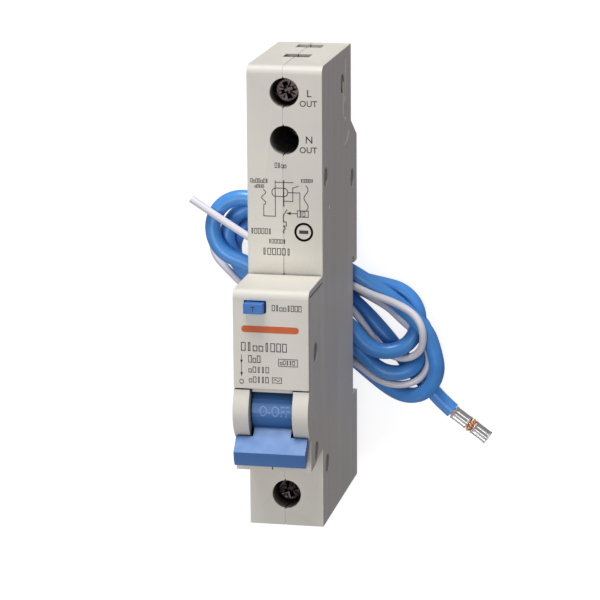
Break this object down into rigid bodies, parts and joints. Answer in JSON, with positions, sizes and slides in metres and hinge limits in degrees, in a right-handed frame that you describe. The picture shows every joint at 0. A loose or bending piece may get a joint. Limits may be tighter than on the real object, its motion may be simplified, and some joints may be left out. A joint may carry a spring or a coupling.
{
  "type": "residual current circuit breaker",
  "caption": "Single-module residual current breaker for a rail, with a toggle lever, a test button, clamp terminals and blue and white flying leads ending in a crimp ferrule.",
  "frame": {"origin": "on the rail seat in the back recess, at the middle of the rail and of the module's width", "axes": "+Z out of the front of the device, away from the rail; +Y towards its upper, outgoing terminals; +X across the module, to the right seen from the front"},
  "size_m": [0.0767, 0.1242, 0.0777],
  "materials": {
    "case_plastic": "moulded polyamide, warm light grey, fine texture",
    "toggle_plastic": "moulded blue thermoplastic, satin",
    "button_plastic": "moulded blue thermoplastic, satin",
    "clip_plastic": "moulded plastic, satin",
    "gland_rubber": "soft moulded rubber",
    "rivet_steel": "plated steel",
    "mechanism_steel": "plated steel",
    "chute_steel": "copper-plated steel splitter plates",
    "terminal_zinc": "yellow-passivated steel",
    "screw_zinc": "zinc-plated steel, cross slot",
    "copper": "bare copper",
    "contact_silver": "silver alloy",
    "bimetal": "rolled bimetal",
    "inner_plastic": "glass-filled dark plastic",
    "circuit_board": "coated glass-epoxy board",
    "blue_insulation": "soft PVC, satin",
    "white_insulation": "soft PVC, satin",
    "ferrule_tin": "tinned copper, crimped"
  },
  "bodies": {
    "case": {"left_shell": "case_plastic", "right_shell": "case_plastic", "front_cover": "case_plastic", "lead_gland": "gland_rubber", "rivet_1": "rivet_steel", "rivet_2": "rivet_steel", "rivet_3": "rivet_steel", "rivet_4": "rivet_steel", "rivet_5": "rivet_steel", "rivet_6": "rivet_steel", "toggle_pin": "mechanism_steel", "contact_arm_pin": "mechanism_steel", "trip_lever_pin": "mechanism_steel", "arc_chute": "chute_steel", "trip_coil": "copper", "load_conductor": "copper", "neutral_conductor": "copper", "line_busbar": "copper", "earth_conductor": "copper", "test_blade": "copper", "fixed_contact": "contact_silver", "bimetal_strip": "bimetal", "inner_partition": "inner_plastic", "sensing_toroid": "inner_plastic", "trip_relay": "inner_plastic", "circuit_board": "circuit_board", "lead_hank": "blue_insulation", "blue_lead_in": "blue_insulation", "blue_lead_tail": "blue_insulation", "white_lead_in": "white_insulation", "white_lead_tail": "white_insulation", "crimp_ferrule": "ferrule_tin"},
    "toggle": {"toggle": "toggle_plastic"},
    "toggle_link": {"toggle_link": "mechanism_steel"},
    "contact_arm": {"contact_arm": "copper"},
    "trip_plunger": {"trip_plunger": "mechanism_steel"},
    "trip_lever": {"trip_lever": "inner_plastic"},
    "relay_plunger": {"relay_plunger": "mechanism_steel"},
    "test_button": {"test_button": "button_plastic"},
    "rail_clip": {"rail_clip": "clip_plastic"},
    "load_screw": {"load_screw": "screw_zinc"},
    "load_cage": {"load_cage": "terminal_zinc"},
    "neutral_screw": {"neutral_screw": "screw_zinc"},
    "neutral_cage": {"neutral_cage": "terminal_zinc"},
    "line_screw": {"line_screw": "screw_zinc"},
    "line_cage": {"line_cage": "terminal_zinc"}
  },
  "joints": [
    {"name": "toggle_swing", "type": "hinge", "parent": "case", "child": "toggle", "pos_m": [0, -0.0078, 0.0492], "axis": [-1, 0, 0], "range_deg": [0, 78]},
    {"name": "link_swing", "type": "hinge", "parent": "toggle", "child": "toggle_link", "pos_m": [0, -0.00549, 0.04644], "axis": [1, 0, 0], "range_deg": [0, 96]},
    {"name": "contact_swing", "type": "hinge", "parent": "case", "child": "contact_arm", "pos_m": [0.0029, -0.0015, 0.0305], "axis": [-1, 0, 0], "range_deg": [0, 15.6]},
    {"name": "plunger_slide", "type": "slide", "parent": "case", "child": "trip_plunger", "axis": [0, 1, 0], "range_m": [0, 0.002], "stiffness_N_per_m": 60},
    {"name": "lever_swing", "type": "hinge", "parent": "case", "child": "trip_lever", "pos_m": [0.0025, 0.022, 0.0336], "axis": [1, 0, 0], "range_deg": [0, 8]},
    {"name": "relay_slide", "type": "slide", "parent": "case", "child": "relay_plunger", "axis": [0, 1, 0], "range_m": [0, 0.0015], "stiffness_N_per_m": 40},
    {"name": "test_press", "type": "slide", "parent": "case", "child": "test_button", "axis": [0, 0, -1], "range_m": [0, 0.0012], "stiffness_N_per_m": 250},
    {"name": "clip_release", "type": "slide", "parent": "case", "child": "rail_clip", "axis": [0, -1, 0], "range_m": [0, 0.003], "stiffness_N_per_m": 600},
    {"name": "load_clamp_rise", "type": "slide", "parent": "case", "child": "load_cage", "axis": [0, 0, 1], "range_m": [0, 0.0024]},
    {"name": "load_screw_turn", "type": "hinge", "parent": "case", "child": "load_screw", "pos_m": [0, 0.06545, 0.03], "axis": [0, 0, -1], "range_deg": [0, 1080]},
    {"name": "neutral_clamp_rise", "type": "slide", "parent": "case", "child": "neutral_cage", "axis": [0, 0, 1], "range_m": [0, 0.0024]},
    {"name": "neutral_screw_turn", "type": "hinge", "parent": "case", "child": "neutral_screw", "pos_m": [0, 0.05415, 0.015], "axis": [0, 0, -1], "range_deg": [0, 1080]},
    {"name": "line_clamp_rise", "type": "slide", "parent": "case", "child": "line_cage", "axis": [0, 0, 1], "range_m": [0, 0.0024]},
    {"name": "line_screw_turn", "type": "hinge", "parent": "case", "child": "line_screw", "pos_m": [0, -0.03245, 0.03], "axis": [0, 0, -1], "range_deg": [0, 1080]}
  ],
  "couplings": [
    {"joint": "link_swing", "follows": "toggle_swing", "ratio": 1.23},
    {"joint": "contact_swing", "follows": "toggle_swing", "ratio": 0.2},
    {"joint": "lever_swing", "follows": "plunger_slide", "rad_per_m": 69.8},
    {"joint": "load_screw_turn", "follows": "load_clamp_rise", "rad_per_m": 7853.9},
    {"joint": "neutral_screw_turn", "follows": "neutral_clamp_rise", "rad_per_m": 7853.9},
    {"joint": "line_screw_turn", "follows": "line_clamp_rise", "rad_per_m": 7853.9}
  ]
}
